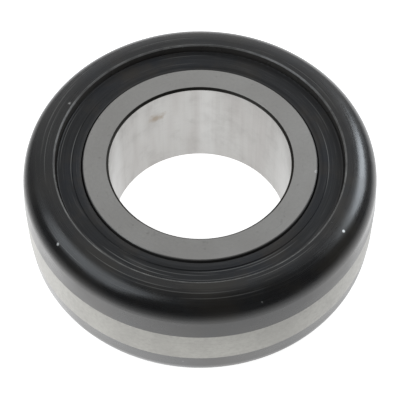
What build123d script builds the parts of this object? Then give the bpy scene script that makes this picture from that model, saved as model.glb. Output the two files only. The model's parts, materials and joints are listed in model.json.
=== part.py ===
from build123d import *
from math import cos, radians, sin, sqrt, tan
import os

# Cam follower: a thick outer ring rolls on two rows of balls round an inner ring that stays still.
# It lies flat, with its axis along +Z and the centre of the outer ring's lower side at the origin.
# Every section is drawn as (radius, height), with heights counted from the mid-plane, in mm.

# Rings
BORE_DIAMETER = 60.0
INNER_RING_DIAMETER = 77.0
INNER_RING_WIDTH = 38.0
OUTER_RING_DIAMETER = 117.6
OUTER_RING_WIDTH = 42.0
BORE_CHAMFER = 0.8
EDGE_CHAMFER = 0.3

# Tread: a straight land, then a slight taper each side that runs into a large corner radius.
# The land's middle lies a little below the mid-plane.
LAND_WIDTH = 13.4
LAND_DROP = 0.9
TAPER_ANGLE = 3.5
CORNER_RADIUS = 8.2

# Balls and raceways
BALL_DIAMETER = 12.7
BALLS_PER_ROW = 16
PITCH_DIAMETER = 85.0
ROW_HEIGHT = 7.2
CONTACT_ANGLE = 30.0
RACEWAY_CONFORMITY = 0.53
RACEWAY_CLEARANCE = 0.08
INNER_CENTRE_DIAMETER = 75.2
OUTER_RIB_DIAMETER = 92.6
OUTER_SHOULDER_DIAMETER = 94.6

# Cages
CAGE_INNER_DIAMETER = 80.6
CAGE_OUTER_DIAMETER = 89.4
CAGE_TOP = 15.0
PRONG_REACH = 2.0
POCKET_CLEARANCE = 0.3
RELIEF_WIDTH = 1.2
RELIEF_DEPTH = 3.0

# Seals: a flat face with a bead at its rim, a raised step, and a cone that falls to the hole
COUNTERBORE_DIAMETER = 95.0
COUNTERBORE_CHAMFER = 0.4
COUNTERBORE_FLOOR = 17.7
SEAL_GROOVE_DIAMETER = 96.5
SEAL_BASE = 15.5
SEAL_FACE = 18.2
SEAL_FACE_DIAMETER = 94.2
BEAD_WIDTH = 0.6
BEAD_HEIGHT = 0.18
SEAL_STEP_DIAMETER = 83.6
SEAL_STEP = 0.3
SEAL_CONE_DIAMETER = 81.2
SEAL_CONE_DROP = 0.35
SEAL_HOLE_DIAMETER = 78.1
LIP_CLEARANCE = 0.1
LIP_HEIGHT = 16.3
LIP_LAND = 0.4
LIP_SLOPE = 0.5

# Steel washers moulded into the seals
WASHER_INNER_DIAMETER = 81.0
WASHER_OUTER_DIAMETER = 94.0
WASHER_THICKNESS = 0.7

MID_PLANE = OUTER_RING_WIDTH / 2
BALL_RADIUS = BALL_DIAMETER / 2
PITCH_RADIUS = PITCH_DIAMETER / 2
RACEWAY_RADIUS = RACEWAY_CONFORMITY * BALL_DIAMETER
BALL_STEP = 360 / BALLS_PER_ROW


def revolved(outline):
    """Revolve a closed outline of (radius, height) about the bearing's axis."""
    section = make_face(Plane.XZ * outline)
    return Pos(0, 0, MID_PLANE) * revolve(section, Axis.Z)


def raceway(side, start_radius, end_radius):
    """Groove arc of the upper row, rising from start_radius to end_radius.

    side is +1 for the outer ring, touched below its balls' centres, and -1 for the inner ring,
    touched above them. The groove's centre is set back along the line of contact, so that the ball
    and the groove are closest there.
    """
    set_back = RACEWAY_RADIUS - BALL_RADIUS - RACEWAY_CLEARANCE
    centre_radius = PITCH_RADIUS - side * set_back * cos(radians(CONTACT_ANGLE))
    centre_height = ROW_HEIGHT + side * set_back * sin(radians(CONTACT_ANGLE))

    def reach(radius):
        return sqrt(RACEWAY_RADIUS**2 - (radius - centre_radius) ** 2)

    start = (start_radius, centre_height - reach(start_radius))
    middle = (centre_radius + side * RACEWAY_RADIUS, centre_height)
    end = (end_radius, centre_height + reach(end_radius))
    return start, end, ThreePointArc(start, middle, end)


def inner_ring():
    """One-piece inner ring, with its high shoulders at the ends, under the seals."""
    bore = BORE_DIAMETER / 2
    land = INNER_RING_DIAMETER / 2
    centre = INNER_CENTRE_DIAMETER / 2
    face = INNER_RING_WIDTH / 2
    groove_start, groove_end, groove = raceway(-1, centre, land)
    middle = Line((centre, 0), groove_start)
    end = Polyline(
        groove_end,
        (land, face - EDGE_CHAMFER),
        (land - EDGE_CHAMFER, face),
        (bore + BORE_CHAMFER, face),
        (bore, face - BORE_CHAMFER),
        (bore, 0),
    )
    upper = middle + groove + end
    return revolved(upper + mirror(upper, Plane.XZ))


def outer_half(land_edge):
    """Half of the outer ring's outline, with its land ending land_edge from the mid-plane."""
    rib = OUTER_RIB_DIAMETER / 2
    shoulder = OUTER_SHOULDER_DIAMETER / 2
    counterbore = COUNTERBORE_DIAMETER / 2
    seal_groove = SEAL_GROOVE_DIAMETER / 2
    tread = OUTER_RING_DIAMETER / 2
    taper = radians(TAPER_ANGLE)

    groove_start, groove_end, groove = raceway(1, rib, shoulder)
    corner_height = MID_PLANE - CORNER_RADIUS
    taper_end = corner_height + CORNER_RADIUS * sin(taper)
    taper_radius = tread - tan(taper) * (taper_end - land_edge)
    corner_centre = taper_radius - CORNER_RADIUS * cos(taper)
    corner_middle = radians(45 + TAPER_ANGLE / 2)

    middle = Line((rib, 0), groove_start)
    end = Polyline(
        groove_end,
        (shoulder, SEAL_BASE),
        (seal_groove, SEAL_BASE),
        (seal_groove, COUNTERBORE_FLOOR),
        (counterbore, COUNTERBORE_FLOOR),
        (counterbore, MID_PLANE - COUNTERBORE_CHAMFER),
        (counterbore + COUNTERBORE_CHAMFER, MID_PLANE),
        (corner_centre, MID_PLANE),
    )
    corner = ThreePointArc(
        (corner_centre, MID_PLANE),
        (
            corner_centre + CORNER_RADIUS * cos(corner_middle),
            corner_height + CORNER_RADIUS * sin(corner_middle),
        ),
        (taper_radius, taper_end),
    )
    running_surface = Polyline((taper_radius, taper_end), (tread, land_edge), (tread, 0))
    return middle + groove + end + corner + running_surface


def outer_ring():
    """Thick outer ring, with its high rib between the rows and a seal groove at each end."""
    upper = outer_half(LAND_WIDTH / 2 - LAND_DROP)
    lower = outer_half(LAND_WIDTH / 2 + LAND_DROP)
    return revolved(upper + mirror(lower, Plane.XZ))


def seal():
    """Upper seal: a rubber moulding over a steel washer, with a lip that bears on the inner ring."""
    hole = SEAL_HOLE_DIAMETER / 2
    cone = SEAL_CONE_DIAMETER / 2
    step = SEAL_STEP_DIAMETER / 2
    face_edge = SEAL_FACE_DIAMETER / 2
    rim = SEAL_GROOVE_DIAMETER / 2
    lip = INNER_RING_DIAMETER / 2 + LIP_CLEARANCE
    washer_inner = WASHER_INNER_DIAMETER / 2
    washer_outer = WASHER_OUTER_DIAMETER / 2
    washer_top = SEAL_BASE + WASHER_THICKNESS
    step_top = SEAL_FACE + SEAL_STEP

    bead_start = (face_edge - BEAD_WIDTH, SEAL_FACE)
    bead_top = (face_edge - BEAD_WIDTH / 2, SEAL_FACE + BEAD_HEIGHT)
    bead_end = (face_edge, SEAL_FACE)
    base_and_rim = Polyline(
        (washer_inner, SEAL_BASE),
        (washer_inner, washer_top),
        (washer_outer, washer_top),
        (washer_outer, SEAL_BASE),
        (rim, SEAL_BASE),
        (rim, COUNTERBORE_FLOOR),
        (face_edge, COUNTERBORE_FLOOR),
        bead_end,
    )
    bead = ThreePointArc(bead_end, bead_top, bead_start)
    face_and_lip = Polyline(
        bead_start,
        (step + SEAL_STEP, SEAL_FACE),
        (step, step_top),
        (cone, step_top),
        (hole, step_top - SEAL_CONE_DROP),
        (hole, LIP_HEIGHT + LIP_LAND + LIP_SLOPE),
        (lip, LIP_HEIGHT + LIP_LAND),
        (lip, LIP_HEIGHT),
        (hole + LIP_SLOPE, SEAL_BASE),
        (washer_inner, SEAL_BASE),
    )
    return revolved(base_and_rim + bead + face_and_lip)


def seal_washer():
    """Steel washer that stiffens the upper seal, flush with the seal's inner side."""
    washer_inner = WASHER_INNER_DIAMETER / 2
    washer_outer = WASHER_OUTER_DIAMETER / 2
    washer_top = SEAL_BASE + WASHER_THICKNESS
    outline = Polyline(
        (washer_inner, SEAL_BASE),
        (washer_outer, SEAL_BASE),
        (washer_outer, washer_top),
        (washer_inner, washer_top),
        close=True,
    )
    return revolved(outline)


def ball_places(side):
    """Ball centres of the upper (side +1) or lower (-1) row, which sits half a ball step round."""
    row_turn = 0 if side > 0 else BALL_STEP / 2
    height = MID_PLANE + side * ROW_HEIGHT
    return [
        Rot(0, 0, row_turn + index * BALL_STEP) * Pos(PITCH_RADIUS, 0, height)
        for index in range(BALLS_PER_ROW)
    ]


def upper_cage():
    """Snap-in crown cage: a ring above the balls, with prongs that reach down between them."""
    inner = CAGE_INNER_DIAMETER / 2
    outer = CAGE_OUTER_DIAMETER / 2
    prong_end = ROW_HEIGHT - PRONG_REACH
    blank = revolved(
        Polyline(
            (inner, prong_end),
            (outer, prong_end),
            (outer, CAGE_TOP),
            (inner, CAGE_TOP),
            close=True,
        )
    )
    pockets = [place * Sphere(BALL_RADIUS + POCKET_CLEARANCE) for place in ball_places(1)]
    relief_place = Pos(PITCH_RADIUS, 0, MID_PLANE + prong_end)
    relief = relief_place * Box(2 * (outer - inner), RELIEF_WIDTH, 2 * RELIEF_DEPTH)
    reliefs = [
        Rot(0, 0, (index + 0.5) * BALL_STEP) * relief for index in range(BALLS_PER_ROW)
    ]
    return blank - pockets - reliefs


def below(upper_piece):
    """The same piece on the lower side."""
    return mirror(upper_piece, Plane.XY.offset(MID_PLANE))


def make_nodes():
    """Every sub-part, under the name of its node."""
    nodes = {"inner_ring": inner_ring(), "outer_ring": outer_ring()}
    nodes["upper_seal"] = seal()
    nodes["lower_seal"] = below(seal())
    nodes["upper_seal_washer"] = seal_washer()
    nodes["lower_seal_washer"] = below(seal_washer())
    nodes["upper_cage"] = upper_cage()
    nodes["lower_cage"] = Rot(0, 0, BALL_STEP / 2) * below(upper_cage())
    for row, side in (("upper", 1), ("lower", -1)):
        for number, place in enumerate(ball_places(side), start=1):
            nodes[f"{row}_ball_{number:02d}"] = place * Sphere(BALL_RADIUS)
    return nodes


os.makedirs("parts", exist_ok=True)
for name, shape in make_nodes().items():
    export_step(shape, f"parts/{name}.step")
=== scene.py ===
import json
import math
import bpy
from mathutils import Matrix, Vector


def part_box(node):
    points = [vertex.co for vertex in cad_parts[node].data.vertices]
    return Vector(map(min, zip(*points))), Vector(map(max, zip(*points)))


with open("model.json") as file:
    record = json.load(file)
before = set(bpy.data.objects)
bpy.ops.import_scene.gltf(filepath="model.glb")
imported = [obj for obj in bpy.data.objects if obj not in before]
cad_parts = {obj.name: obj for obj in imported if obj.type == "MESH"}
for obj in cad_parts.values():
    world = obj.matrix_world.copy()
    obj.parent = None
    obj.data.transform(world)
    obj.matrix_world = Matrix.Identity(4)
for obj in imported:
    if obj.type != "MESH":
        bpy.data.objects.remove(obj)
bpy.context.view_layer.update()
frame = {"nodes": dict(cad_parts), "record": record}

# Everything is in metres, in the frame of the CAD model: the axis is Z and the floor is at z = 0.
MM = 0.001
ring_low, ring_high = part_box("outer_ring")
WALL_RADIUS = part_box("inner_ring")[1].x
MID_PLANE = (ring_low.z + ring_high.z) / 2
CENTRE = Vector((0, 0, MID_PLANE))
TREAD_RADIUS = ring_high.x
BORE_RADIUS = next(m for m in frame["record"]["mounts"] if m["name"] == "bore")["dims"]["r_mm"] * MM

# Camera, with its lens in mm
CAMERA_ELEVATION = math.radians(55.4)
CAMERA_DISTANCE = 0.504
CAMERA_LENS = 134.2
CAMERA_AIM_DROP = 0.0022

# Inner ring's finish. Places of marks are in mm; stretches of painted highlight in the bore
# (brighter steel colour) are given as middle angle, spread and strength.
BORE_CHAMFER = 0.8 * MM
EDGE_NICK = (38.0, -4.4, 40.0)
BORE_STAIN = (-15.5, 25.7, 28.8)
BORE_PAINTED_HIGHLIGHTS = ((86, 7, 0.3), (165, 14, 0.5), (10, 22, 0.5))

# Outer ring's finish. Rubbed arcs fade in between SIDE_HEIGHTS from the mid-plane, and the wear on
# the counterbore's edge between EDGE_HEIGHTS. The left side is painted darker below LEFT_SHADE_SPAN
# along x, as painted shade.
# Scratches are given as radius in mm, middle angle, spread and strength. A few follow marks in the
# photo, and the rest are placed for effect.
LAND_MIDDLE = MID_PLANE - 0.9 * MM
LAND_HALF_WIDTH = 6.7 * MM
COUNTERBORE_RADIUS = 47.5 * MM
SIDE_HEIGHTS = (18.5 * MM, 20.5 * MM)
EDGE_HEIGHTS = (20.4 * MM, 20.6 * MM)
LEFT_SHADE_SPAN = (-0.06, -0.03)
RING_NICKS = ((-44.8, -32.6, 40.1), (45.4, -28.4, 41.2))
RING_SCRATCHES = (
    (50.4, -116, 20, 0.8),
    (51.6, -97, 24, 0.6),
    (53.3, -82, 16, 0.5),
    (49.2, -58, 16, 0.7),
    (52.2, 158, 16, 0.8),
    (50.7, 172, 22, 0.6),
    (54.8, -142, 12, 0.6),
    (50.9, 104, 16, 0.5),
    (49.6, 38, 18, 0.5),
    (51.9, 12, 12, 0.6),
)

# Seal's finish: radii between which the dust at its rim and at its hole fades, and scratches of
# the same kind
SEAL_RIM_RADII = (45.9 * MM, 47.0 * MM)
SEAL_HOLE_RADII = (39.2 * MM, 39.9 * MM)
SEAL_SCRATCHES = (
    (44.8, -117, 17, 1.0),
    (46.3, -132, 12, 0.9),
    (43.5, -103, 22, 0.6),
    (42.4, -74, 24, 0.8),
    (43.3, -60, 16, 0.7),
    (45.4, -82, 26, 0.5),
    (42.2, 2, 22, 0.9),
    (42.3, 176, 18, 0.9),
    (45.9, 168, 16, 0.8),
    (44.6, 28, 14, 0.5),
    (45.2, 96, 14, 0.4),
)

# Floor: a bright pool behind the part, a lift beside the part that is stronger on the left, and a
# patch of its own inside the bore. Each pair of glows belongs to the pair of places above it. The
# camera sees SHEET_GLOW instead.
FLOOR_RADIUS = 3.0
POOL_CENTRE = (0.025, 0.060)
POOL_RADIUS = 0.09
POOL_FADE = 0.10
POOL_BACK_STRETCH = 0.4
POOL_GLOW = 1.1
LIFT_RADII = (0.07, 0.13)
LIFT_SPAN = (-0.07, 0.05)
LIFT_GLOWS = (0.85, 0.15)
BORE_PATCH_RADII = (0.0, 0.04)
BORE_PATCH_GLOWS = (0.95, 0.78)
BORE_PATCH_EDGE = (0.040, 0.045)
SHEET_GLOW = 0.95

# Sky: brightest low behind the part. The camera sees PAPER_GLOW instead.
SKY_DIRECTION = (0.0, 0.966, 0.259)
SKY_DARK = 0.07
SKY_BRIGHT = 0.57
SKY_FALL = 2.0
SKY_TINT = (0.98, 0.99, 1.0, 1.0)
PAPER_GLOW = 1.2

# Softboxes: direction from the roller, distance, size, power and tint
SOFTBOXES = {
    "softbox_right": ((0.672, 0.450, 0.588), 0.75, (0.37, 0.30), 1.55, (0.86, 0.93, 1.0)),
    "softbox_left": ((-0.643, -0.184, 0.743), 0.85, (0.75, 0.55), 1.55, (0.88, 0.94, 1.0)),
}


class Shader:
    """One material's node tree, ending in a Principled shader."""

    def __init__(self, name, metallic=0.0, roughness=0.5, ior=1.5):
        self.material = bpy.data.materials.new(name)
        self.material.use_nodes = True
        self.tree = self.material.node_tree
        self.surface = self.tree.nodes["Principled BSDF"]
        self.surface.inputs["Metallic"].default_value = metallic
        self.surface.inputs["Roughness"].default_value = roughness
        self.surface.inputs["IOR"].default_value = ior
        place = self.node("ShaderNodeTexCoord").outputs["Object"]
        parts = self.node("ShaderNodeSeparateXYZ", Vector=place)
        self.place = place
        self.x, self.y, self.z = parts.outputs
        flat = self.node("ShaderNodeCombineXYZ", X=self.x, Y=self.y).outputs["Vector"]
        self.radius = self.vector("LENGTH", flat, output="Value")
        self.around = self.vector("NORMALIZE", flat)

    def node(self, kind, settings=(), **inputs):
        """A new node with its settings and its named inputs, given as values or as sockets."""
        node = self.tree.nodes.new(kind)
        for key, value in dict(settings).items():
            setattr(node, key, value)
        for key, value in inputs.items():
            self.feed(node.inputs[key.replace("_", " ")], value)
        return node

    def feed(self, socket, value):
        """Link a socket to another one, or set its value."""
        if isinstance(value, bpy.types.NodeSocket):
            self.tree.links.new(value, socket)
        else:
            socket.default_value = value

    def math(self, operation, *values):
        node = self.node("ShaderNodeMath", {"operation": operation})
        for socket, value in zip(node.inputs, values):
            self.feed(socket, value)
        return node.outputs["Value"]

    def vector(self, operation, *values, output="Vector"):
        node = self.node("ShaderNodeVectorMath", {"operation": operation})
        for socket, value in zip(node.inputs, values):
            self.feed(socket, value)
        return node.outputs[output]

    def noise(self, vector, scale, detail=2.0, roughness=0.5, w=None):
        """Noise from about 0 to 1, in three dimensions, or four with w."""
        settings = {"noise_dimensions": "3D" if w is None else "4D"}
        node = self.node(
            "ShaderNodeTexNoise", settings, Vector=vector, Scale=scale, Detail=detail
        )
        node.inputs["Roughness"].default_value = roughness
        if w is not None:
            self.feed(node.inputs["W"], w)
        return node.outputs["Fac"]

    def hoops(self, across, fine, along=1.5, detail=3.0):
        """Streaks that run round the axis: fine per metre across, along times round the ring."""
        ring = self.vector("SCALE", self.around)
        self.feed(ring.node.inputs["Scale"], along)
        depth = self.math("MULTIPLY", across, fine)
        return self.noise(ring, 1.0, detail, 0.6, depth)

    def staves(self, fine, along=40.0, detail=3.0):
        """Streaks that run along the axis: fine times round the ring."""
        ring = self.vector("SCALE", self.around)
        self.feed(ring.node.inputs["Scale"], fine)
        depth = self.math("MULTIPLY", self.z, along)
        return self.noise(ring, 1.0, detail, 0.6, depth)

    def arcs(self, across, fine, along, low, high):
        """Thin broken arcs round the axis: 1 where the streak noise is above high, 0 below low."""
        return self.remap(self.hoops(across, fine, along, 2.0), low, high)

    def remap(self, value, low, high, to_low=0.0, to_high=1.0, smooth=False):
        """Map low..high to to_low..to_high, held at both ends."""
        settings = {"interpolation_type": "SMOOTHSTEP" if smooth else "LINEAR"}
        node = self.node("ShaderNodeMapRange", settings, Value=value)
        ends = {"From Min": low, "From Max": high, "To Min": to_low, "To Max": to_high}
        for name, number in ends.items():
            self.feed(node.inputs[name], number)
        return node.outputs["Result"]

    def band(self, value, middle, half_width, soft):
        """1 where value is within half_width of middle, falling to 0 over soft."""
        away = self.math("ABSOLUTE", self.math("SUBTRACT", value, middle))
        return self.remap(away, half_width, half_width + soft, 1.0, 0.0, smooth=True)

    def sector(self, degrees, spread):
        """1 round an angle about the axis, counted from +X, falling to 0 at spread from it."""
        angle, reach = math.radians(degrees), math.radians(spread)
        heading = (math.cos(angle), math.sin(angle), 0.0)
        near = self.vector("DOT_PRODUCT", self.around, heading, output="Value")
        return self.remap(near, math.cos(reach), math.cos(reach / 3))

    def scratches(self, arcs):
        """Thin arcs round the axis: radius in mm, middle angle, spread and strength of each."""
        marks = 0.0
        for radius, degrees, spread, strength in arcs:
            line = self.band(self.radius, radius * MM, 0.04 * MM, 0.14 * MM)
            line = self.math("MULTIPLY", line, strength)
            mark = self.math("MULTIPLY", line, self.sector(degrees, spread))
            marks = self.math("MAXIMUM", marks, mark)
        return marks

    def distance(self, place):
        """Distance from a place given in mm."""
        return self.vector("DISTANCE", self.place, tuple(n * MM for n in place), output="Value")

    def spot(self, place, radius, soft):
        """1 within radius of a place, falling to 0 over soft, all given in mm."""
        away = self.distance(place)
        return self.remap(away, radius * MM, (radius + soft) * MM, 1.0, 0.0, smooth=True)

    def mix(self, factor, first, second):
        """Blend of two colours or two numbers, either of which may be a socket."""
        ends = (first, second)
        coloured = any(isinstance(v, tuple) or getattr(v, "type", "") == "RGBA" for v in ends)
        data_type, socket_type = ("RGBA", "RGBA") if coloured else ("FLOAT", "VALUE")
        node = self.node("ShaderNodeMix", {"data_type": data_type})
        self.feed(node.inputs[0], factor)
        sockets = [socket for socket in node.inputs if socket.type == socket_type][-2:]
        for socket, value in zip(sockets, ends):
            self.feed(socket, colour(value))
        return next(socket for socket in node.outputs if socket.type == socket_type)

    def bump(self, height, depth, strength=1.0):
        node = self.node("ShaderNodeBump", Height=height, Distance=depth, Strength=strength)
        self.feed(self.surface.inputs["Normal"], node.outputs["Normal"])

    def set(self, **inputs):
        for key, value in inputs.items():
            self.feed(self.surface.inputs[key.replace("_", " ")], colour(value))
        return self.material


def colour(value):
    """A three-number colour as four numbers; anything else as it is."""
    return (*value, 1.0) if isinstance(value, tuple) and len(value) == 3 else value


def ring_steel():
    """Ground steel: lapped end faces, a bore with lengthwise marks, a stain and painted highlights,
    dark chamfers, and painted shade on the outer wall under the seal.
    """
    s = Shader("ring_steel", metallic=1.0)
    grain = s.noise(s.place, 900.0, 3.0, 0.6)
    clouds = s.noise(s.place, 55.0, 4.0, 0.6)

    # End faces: fine lapping grain, faint rings and a few short dull marks
    rings = s.hoops(s.radius, 2600.0, 2.5)
    marks = s.remap(s.noise(s.place, 330.0, 2.0, 0.7), 0.64, 0.76, 0.0, 0.4)
    scuffs = s.arcs(s.radius, 1500.0, 9.0, 0.62, 0.72)
    face = s.mix(s.remap(clouds, 0.35, 0.68), (0.635, 0.62, 0.595), (0.70, 0.69, 0.665))
    face = s.mix(s.remap(grain, 0.35, 0.7, 0.0, 0.35), face, (0.54, 0.53, 0.505))
    face = s.mix(s.remap(rings, 0.5, 0.75, 0.0, 0.3), face, (0.55, 0.54, 0.515))
    face = s.mix(s.math("MULTIPLY", scuffs, 0.4), face, (0.46, 0.45, 0.43))
    face = s.mix(marks, face, (0.36, 0.35, 0.33))
    face = s.mix(s.spot(EDGE_NICK, 0.5, 0.4), face, (0.95, 0.95, 0.93))

    # Bore: broad and fine lengthwise marks, smudges and a light brown stain
    broad = s.staves(5.0, 25.0, 2.0)
    fine = s.staves(75.0, 22.0)
    smudge = s.noise(s.vector("ADD", s.place, (0.02, 0.05, 0.01)), 120.0, 5.0, 0.7)
    ragged = s.math("MULTIPLY", s.math("SUBTRACT", smudge, 0.5), 12 * MM)
    away = s.distance(BORE_STAIN)
    stain = s.remap(s.math("ADD", away, ragged), 1.0 * MM, 3.5 * MM, 0.6, 0.0)
    brushed = s.hoops(s.z, 1500.0, 7.0)
    bore = s.mix(s.remap(broad, 0.35, 0.65), (0.54, 0.525, 0.51), (0.60, 0.595, 0.58))
    bore = s.mix(s.remap(fine, 0.5, 0.75, 0.0, 0.16), bore, (0.47, 0.46, 0.45))
    bore = s.mix(s.remap(brushed, 0.5, 0.75, 0.0, 0.3), bore, (0.47, 0.46, 0.445))
    bore = s.mix(s.remap(smudge, 0.5, 0.72, 0.0, 0.4), bore, (0.42, 0.41, 0.395))
    # Painted highlights: stretches of the bore painted brighter where it shows bright reflections
    painted_highlight = 0.0
    for degrees, spread, strength in BORE_PAINTED_HIGHLIGHTS:
        painted_highlight = s.math("ADD", painted_highlight, s.math("MULTIPLY", s.sector(degrees, spread), strength))
    bore = s.mix(painted_highlight, bore, (0.76, 0.76, 0.75))
    bore = s.mix(stain, bore, (0.30, 0.22, 0.14))

    # Face and bore together, with a dark chamfer, and painted shade on the wall that runs down
    # between the ring and the seal
    in_bore = s.remap(s.radius, BORE_RADIUS + 0.02 * MM, BORE_RADIUS + 0.06 * MM, 1.0, 0.0)
    chamfer_half = BORE_CHAMFER / 2
    chamfer = s.band(s.radius, BORE_RADIUS + chamfer_half, chamfer_half - 0.06 * MM, 0.04 * MM)
    tone = s.mix(chamfer, s.mix(in_bore, face, bore), (0.075, 0.07, 0.062))
    painted_wall_shade = s.remap(s.radius, WALL_RADIUS - 0.15 * MM, WALL_RADIUS - 0.05 * MM)
    tone = s.mix(painted_wall_shade, tone, (0.11, 0.105, 0.10))
    face_rough = s.remap(s.math("ADD", rings, grain), 0.7, 1.3, 0.30, 0.40)
    bore_rough = s.remap(s.math("ADD", fine, smudge), 0.7, 1.3, 0.28, 0.42)
    rough = s.mix(chamfer, s.mix(in_bore, face_rough, bore_rough), 0.5)
    bore_relief = s.math("ADD", fine, s.math("MULTIPLY", grain, 0.4))
    s.bump(s.mix(in_bore, s.math("ADD", rings, grain), bore_relief), 0.004 * MM, 0.6)
    return s.set(Base_Color=tone, Roughness=rough, Metallic=s.math("SUBTRACT", 1.0, painted_wall_shade))


def roller_steel():
    """Black oxide all over, worn bright in places, with a bare ground land round the middle;
    painted shade on its left side and painted light on the counterbore's wall.
    """
    s = Shader("roller_steel", ior=1.9)
    outside = s.remap(s.radius, TREAD_RADIUS - 4 * MM, TREAD_RADIUS - 3.5 * MM)
    land = s.math("MULTIPLY", s.band(s.z, LAND_MIDDLE, LAND_HALF_WIDTH, 0.05 * MM), outside)
    from_middle = s.math("ABSOLUTE", s.math("SUBTRACT", s.z, MID_PLANE))

    # Oxide: turning marks, brown, green and blue tints in soft patches, and rubbed arcs
    turned = s.hoops(s.radius, 2400.0, 2.5)
    patch = s.noise(s.place, 40.0, 4.0, 0.6)
    second_patch = s.noise(s.vector("ADD", s.place, (0.3, 0.1, 0.2)), 62.0, 4.0, 0.6)
    rubbed = s.arcs(s.radius, 1700.0, 3.2, 0.60, 0.70)
    rubbed = s.math("MULTIPLY", rubbed, s.remap(from_middle, *SIDE_HEIGHTS))
    scratched = s.scratches(RING_SCRATCHES)
    oxide = s.mix(s.remap(patch, 0.46, 0.64), (0.006, 0.006, 0.007), (0.024, 0.019, 0.012))
    oxide = s.mix(s.remap(second_patch, 0.50, 0.68, 0.0, 0.8), oxide, (0.007, 0.012, 0.018))
    oxide = s.mix(s.remap(turned, 0.5, 0.75, 0.0, 0.5), oxide, (0.024, 0.023, 0.022))
    # Painted shade: the left side of the ring is painted near black
    oxide = s.mix(s.remap(s.x, *LEFT_SHADE_SPAN, 0.7, 0.0), oxide, (0.002, 0.002, 0.002))
    oxide = s.mix(s.math("MULTIPLY", rubbed, 0.5), oxide, (0.10, 0.092, 0.08))
    oxide = s.mix(s.math("MULTIPLY", scratched, 0.8), oxide, (0.30, 0.29, 0.27))

    # The counterbore's wall is painted lighter: painted light on a wall that sits in shade
    lit_wall_radii = (COUNTERBORE_RADIUS + 0.05 * MM, COUNTERBORE_RADIUS + 0.15 * MM)
    oxide = s.mix(s.remap(s.radius, *lit_wall_radii, 1.0, 0.0), oxide, (0.14, 0.13, 0.12))

    # Wear on the counterbore's edge, brighter in stretches, and a few bright nicks: two from the
    # photo, and more that noise spreads
    edge = s.band(s.radius, COUNTERBORE_RADIUS + 0.22 * MM, 0.2 * MM, 0.2 * MM)
    edge = s.math("MULTIPLY", edge, s.remap(from_middle, *EDGE_HEIGHTS))
    broken = s.remap(s.noise(s.place, 120.0, 3.0, 0.6), 0.42, 0.68, 0.4, 1.0)
    rubbed_edge = s.math("MULTIPLY", edge, broken)
    oxide = s.mix(rubbed_edge, oxide, (0.40, 0.39, 0.37))
    nick = s.math("MULTIPLY", s.remap(s.noise(s.place, 420.0, 1.0), 0.79, 0.83), 0.8)
    for place in RING_NICKS:
        nick = s.math("MAXIMUM", nick, s.spot(place, 0.35, 0.35))

    # Bare steel, ground coarser and warmer than the oxide beside it
    ground = s.hoops(s.z, 3000.0, 3.5)
    speckle = s.noise(s.place, 800.0, 3.0, 0.6)
    pale = s.noise(s.place, 60.0, 3.0, 0.6)
    steel = s.mix(s.remap(pale, 0.35, 0.65), (0.32, 0.315, 0.295), (0.375, 0.37, 0.345))
    coarse = s.math("ADD", speckle, ground)
    steel = s.mix(s.remap(coarse, 0.9, 1.3, 0.0, 0.5), steel, (0.28, 0.275, 0.26))
    steel_rough = s.remap(speckle, 0.3, 0.7, 0.36, 0.44)

    metal = s.math("MAXIMUM", land, nick)
    tone = s.mix(metal, oxide, s.mix(nick, steel, (0.9, 0.9, 0.88)))
    turned_rough = s.remap(turned, 0.3, 0.7, 0.20, 0.30)
    oxide_rough = s.math("ADD", turned_rough, s.remap(patch, 0.3, 0.7, -0.04, 0.10))
    rough = s.mix(metal, oxide_rough, steel_rough)
    s.bump(s.mix(land, s.math("ADD", turned, rubbed), coarse), 0.004 * MM, 0.5)
    return s.set(Base_Color=tone, Roughness=rough, Metallic=metal)


def seal_rubber():
    """Nitrile rubber with concentric mould marks, dusty patches and fine rubbed arcs."""
    s = Shader("seal_rubber")
    rings = s.hoops(s.radius, 1900.0, 0.8)
    dust = s.noise(s.place, 60.0, 4.0, 0.65)
    blue = s.noise(s.vector("ADD", s.place, (0.1, 0.4, 0.2)), 45.0, 3.0, 0.6)
    rubbed = s.arcs(s.radius, 1500.0, 3.0, 0.58, 0.68)
    rim = s.remap(s.radius, *SEAL_RIM_RADII)
    hole = s.remap(s.radius, *SEAL_HOLE_RADII, 1.0, 0.0)
    scratched = s.scratches(SEAL_SCRATCHES)
    tone = s.mix(s.remap(rings, 0.4, 0.65), (0.027, 0.027, 0.028), (0.043, 0.043, 0.044))
    tone = s.mix(s.remap(blue, 0.48, 0.68, 0.0, 0.5), tone, (0.029, 0.034, 0.045))
    tone = s.mix(s.remap(dust, 0.48, 0.68, 0.0, 0.7), tone, (0.066, 0.055, 0.043))
    tone = s.mix(s.math("MULTIPLY", rubbed, 0.4), tone, (0.13, 0.125, 0.12))
    tone = s.mix(s.math("MULTIPLY", scratched, 0.8), tone, (0.34, 0.335, 0.32))
    dusty = s.math("MULTIPLY", s.math("MAXIMUM", rim, hole), 0.6)
    tone = s.mix(dusty, tone, (0.10, 0.096, 0.092))
    rough = s.remap(rings, 0.3, 0.7, 0.32, 0.48)
    s.bump(s.math("ADD", rings, s.math("MULTIPLY", dust, 0.4)), 0.02 * MM, 0.7)
    return s.set(Base_Color=tone, Roughness=rough)


def washer_steel():
    """Cold-rolled strip with faint rolling marks."""
    s = Shader("washer_steel", metallic=1.0)
    stretched = s.vector("MULTIPLY", s.place, (60.0, 1800.0, 60.0))
    rolled = s.noise(stretched, 1.0, 3.0)
    tone = s.mix(s.remap(rolled, 0.35, 0.65), (0.42, 0.42, 0.41), (0.52, 0.52, 0.51))
    s.bump(rolled, 0.005 * MM, 0.5)
    return s.set(Base_Color=tone, Roughness=s.remap(rolled, 0.3, 0.7, 0.28, 0.42))


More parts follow.
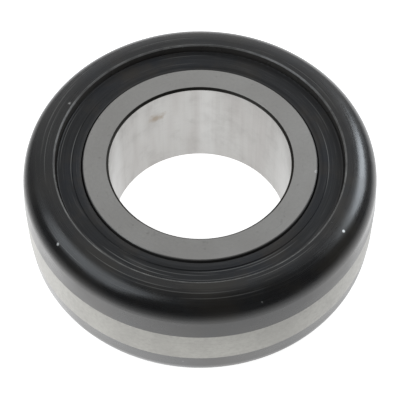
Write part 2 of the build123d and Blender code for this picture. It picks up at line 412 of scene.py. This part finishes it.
def cage_polyamide():
    """Glass-filled polyamide, off-white, with a slightly fibrous surface."""
    s = Shader("cage_polyamide", ior=1.53)
    fibres = s.noise(s.place, 1600.0, 4.0, 0.7)
    clouds = s.noise(s.place, 90.0, 2.0)
    tone = s.mix(s.remap(clouds, 0.3, 0.7), (0.56, 0.50, 0.36), (0.66, 0.61, 0.47))
    s.surface.inputs["Subsurface Weight"].default_value = 0.08
    s.surface.inputs["Subsurface Radius"].default_value = (0.002, 0.0015, 0.001)
    s.bump(fibres, 0.02 * MM, 0.5)
    return s.set(Base_Color=tone, Roughness=s.remap(fibres, 0.3, 0.7, 0.42, 0.58))


def ball_steel():
    """Polished bearing steel under a thin, uneven film of grease."""
    s = Shader("ball_steel", metallic=1.0)
    film = s.noise(s.place, 260.0, 3.0, 0.6)
    tone = s.mix(s.remap(film, 0.35, 0.65), (0.66, 0.66, 0.66), (0.75, 0.75, 0.74))
    s.bump(film, 0.004 * MM, 0.4)
    return s.set(Base_Color=tone, Roughness=s.remap(film, 0.3, 0.7, 0.06, 0.16))


def floor_material():
    """White sheet to the camera. To everything else it glows as the photo's reflections show."""
    s = Shader("studio_floor", roughness=0.7)
    across = s.math("SUBTRACT", s.x, POOL_CENTRE[0])
    behind = s.math("SUBTRACT", s.y, POOL_CENTRE[1])
    behind = s.math("MINIMUM", behind, s.math("MULTIPLY", behind, POOL_BACK_STRETCH))
    flat = s.node("ShaderNodeCombineXYZ", X=across, Y=behind).outputs["Vector"]
    outside = s.math("SUBTRACT", s.vector("LENGTH", flat, output="Value"), POOL_RADIUS)
    depth = s.math("DIVIDE", s.math("MAXIMUM", outside, 0.0), -POOL_FADE)
    pool = s.math("MULTIPLY", s.math("EXPONENT", depth), POOL_GLOW)
    beside = s.remap(s.radius, *LIFT_RADII, 1.0, 0.0, smooth=True)
    lift = s.math("MULTIPLY", beside, s.remap(s.x, *LIFT_SPAN, *LIFT_GLOWS))
    bore_patch = s.remap(s.radius, *BORE_PATCH_RADII, *BORE_PATCH_GLOWS)
    past_bore = s.remap(s.radius, *BORE_PATCH_EDGE, smooth=True)
    glow = s.mix(past_bore, bore_patch, s.math("ADD", pool, lift))
    seen = s.node("ShaderNodeLightPath").outputs["Is Camera Ray"]
    s.surface.inputs["Emission Color"].default_value = (1.0, 1.0, 1.0, 1.0)
    return s.set(
        Base_Color=s.mix(seen, 0.2, 0.8), Emission_Strength=s.mix(seen, glow, SHEET_GLOW)
    )


def finish_nodes():
    """Give every CAD node the material of its slot in the record."""
    makers = (ring_steel, roller_steel, seal_rubber, washer_steel, cage_polyamide, ball_steel)
    made = {maker.__name__: maker() for maker in makers}
    for part in frame["record"]["subparts"]:
        mesh = frame["nodes"][part["node"]].data
        mesh.materials.clear()
        mesh.materials.append(made[part["material_slot"]])


def make_floor():
    """A wide flat disc at z = 0."""
    bpy.ops.mesh.primitive_circle_add(
        vertices=96, radius=FLOOR_RADIUS, fill_type="NGON", location=(0, 0, 0)
    )
    floor = bpy.context.object
    floor.name = "studio_floor"
    floor.data.materials.append(floor_material())


def facing(direction):
    """Rotation that turns an object's -Z along direction."""
    return direction.to_track_quat("-Z", "Y").to_euler()


def make_camera():
    """Long-lens camera on the -Y side, looking down at the roller's upper face."""
    back = Vector((0, -math.cos(CAMERA_ELEVATION), math.sin(CAMERA_ELEVATION)))
    up = Vector((0, math.sin(CAMERA_ELEVATION), math.cos(CAMERA_ELEVATION)))
    place = CENTRE + back * CAMERA_DISTANCE
    aim = CENTRE - up * CAMERA_AIM_DROP
    data = bpy.data.cameras.new("camera")
    data.lens = CAMERA_LENS
    data.clip_start = 0.01
    camera = bpy.data.objects.new("camera", data)
    camera.location = place
    camera.rotation_euler = facing(aim - place)
    bpy.context.scene.collection.objects.link(camera)
    bpy.context.scene.camera = camera


def make_softbox(name, direction, distance, size, power, tint):
    """Rectangular area light, distance from the roller in the given direction, facing it."""
    data = bpy.data.lights.new(name, "AREA")
    data.shape = "RECTANGLE"
    data.size, data.size_y = size
    data.energy = power
    data.color = tint
    light = bpy.data.objects.new(name, data)
    toward = Vector(direction).normalized()
    light.location = CENTRE + toward * distance
    light.rotation_euler = facing(-toward)
    bpy.context.scene.collection.objects.link(light)


def make_world():
    """Soft light from above and behind, dark in front; seen directly it is white paper."""
    world = bpy.data.worlds.new("studio")
    bpy.context.scene.world = world
    world.use_nodes = True
    nodes, links = world.node_tree.nodes, world.node_tree.links

    toward_sky = nodes.new("ShaderNodeVectorMath")
    toward_sky.operation = "DOT_PRODUCT"
    toward_sky.inputs[1].default_value = SKY_DIRECTION
    positive = nodes.new("ShaderNodeMath")
    positive.operation = "MAXIMUM"
    positive.inputs[1].default_value = 0.0
    fall = nodes.new("ShaderNodeMath")
    fall.operation = "POWER"
    fall.use_clamp = True
    fall.inputs[1].default_value = SKY_FALL
    sky = nodes.new("ShaderNodeMapRange")
    sky.inputs["To Min"].default_value = SKY_DARK
    sky.inputs["To Max"].default_value = SKY_BRIGHT
    seen = nodes.new("ShaderNodeMix")
    seen.inputs["B"].default_value = PAPER_GLOW
    nodes["Background"].inputs["Color"].default_value = SKY_TINT

    direction = nodes.new("ShaderNodeTexCoord").outputs["Generated"]
    camera_ray = nodes.new("ShaderNodeLightPath").outputs["Is Camera Ray"]
    links.new(direction, toward_sky.inputs[0])
    links.new(toward_sky.outputs["Value"], positive.inputs[0])
    links.new(positive.outputs["Value"], fall.inputs[0])
    links.new(fall.outputs["Value"], sky.inputs["Value"])
    links.new(camera_ray, seen.inputs["Factor"])
    links.new(sky.outputs["Result"], seen.inputs["A"])
    links.new(seen.outputs["Result"], nodes["Background"].inputs["Strength"])


make_camera()
make_floor()
make_world()
for name, softbox in SOFTBOXES.items():
    make_softbox(name, *softbox)
finish_nodes()
bpy.context.scene.view_settings.view_transform = "Standard"
